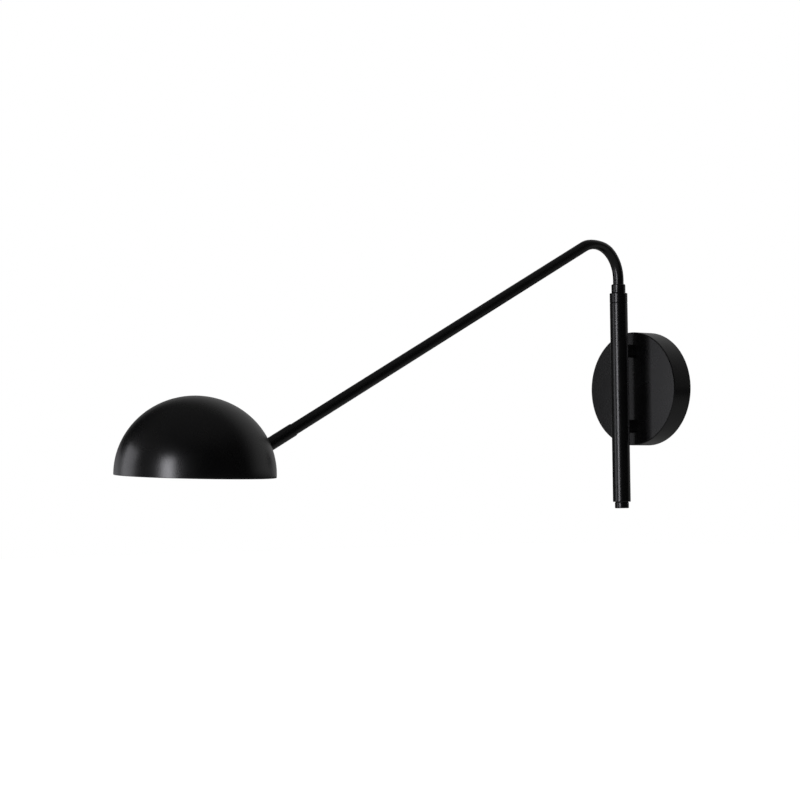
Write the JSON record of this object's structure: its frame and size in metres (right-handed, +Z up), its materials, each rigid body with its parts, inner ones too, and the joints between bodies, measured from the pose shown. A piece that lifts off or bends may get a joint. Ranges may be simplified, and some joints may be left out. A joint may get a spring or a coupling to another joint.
{
  "type": "wall light",
  "caption": "Swing-arm wall light: a round canopy holds an upright pole, and a bent tube arm carries a small downward dome shade.",
  "frame": {"origin": "centre of the canopy's back rim, on the wall, midway between the bracket's two slots", "axes": "+X to the right as seen from the room, +Y into the wall, +Z up"},
  "size_m": [0.1584, 0.732, 0.3021],
  "materials": {
    "black_paint": "satin black powder coat",
    "bracket_steel": "zinc plated",
    "fastener_steel": "zinc plated",
    "black_screw": "black oxide",
    "earth_screw": "green dyed",
    "bush_nylon": "moulded nylon",
    "washer_fibre": "smooth",
    "wire_black": "smooth insulation",
    "wire_green": "smooth insulation",
    "wire_white": "silicone insulation",
    "splice_nylon": "moulded nylon",
    "holder_ceramic": "glazed ceramic",
    "bulb_base_ceramic": "matt ceramic",
    "pin_metal": "bright wire",
    "bulb_glass": "frosted"
  },
  "bodies": {
    "wall_base": {"canopy_shell": "black_paint", "standoff_upper": "black_paint", "standoff_lower": "black_paint", "pole_tube": "black_paint", "pole_top_ring": "black_paint", "canopy_side_screws": "black_screw", "stop_screw": "black_screw", "mounting_bracket": "bracket_steel", "nipple_upper": "fastener_steel", "nipple_lower": "fastener_steel", "lock_washers": "fastener_steel", "canopy_nuts": "fastener_steel", "ground_screw": "earth_screw", "ground_terminals": "fastener_steel", "ground_wire": "wire_green", "upper_bush": "bush_nylon", "lower_bush": "bush_nylon", "thrust_washer": "washer_fibre", "friction_washer": "washer_fibre", "supply_wires": "wire_black"},
    "arm": {"arm_tube": "black_paint", "top_collar": "black_paint", "end_cap": "black_paint", "arm_wires": "wire_black", "shade": "black_paint", "shade_collar": "black_paint", "shade_nipple": "fastener_steel", "saddle_washer": "fastener_steel", "shade_nut": "fastener_steel", "lamp_bracket": "bracket_steel", "lamp_holder": "holder_ceramic", "holder_screws": "fastener_steel", "holder_leads": "wire_white", "lead_splices": "splice_nylon", "bulb_base": "bulb_base_ceramic", "bulb_pins": "pin_metal", "bulb_glass": "bulb_glass"}
  },
  "joints": [
    {"name": "arm_swing", "type": "hinge", "parent": "wall_base", "child": "arm", "pos_m": [0, -0.047, 0], "axis": [0, 0, 1], "range_deg": [-85, 85]}
  ]
}
